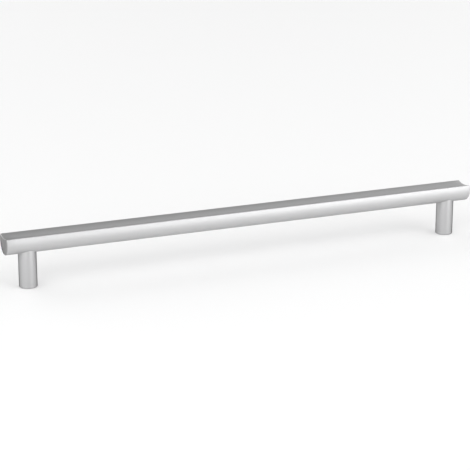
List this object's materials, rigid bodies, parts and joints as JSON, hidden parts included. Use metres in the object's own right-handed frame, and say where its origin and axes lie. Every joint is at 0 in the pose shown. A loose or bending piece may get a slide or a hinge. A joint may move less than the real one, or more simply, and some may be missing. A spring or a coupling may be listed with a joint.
{
  "type": "cabinet pull",
  "caption": "Slim bar pull for a cabinet door or drawer: a round bar scooped along its outer face, standing on round posts with tapped fixing holes in their feet.",
  "frame": {"origin": "on the door face, midway between the centres of the feet", "axes": "+X along the bar, +Y across it, +Z away from the door face"},
  "size_m": [0.352, 0.018, 0.0369],
  "materials": {
    "bar_aluminium": "satin anodised",
    "post_aluminium": "satin anodised",
    "stud_steel": "zinc plated"
  },
  "bodies": {
    "root": {"grip_bar": "bar_aluminium", "post_left": "post_aluminium", "post_right": "post_aluminium", "joining_stud_left": "stud_steel", "joining_stud_right": "stud_steel"}
  },
  "joints": []
}
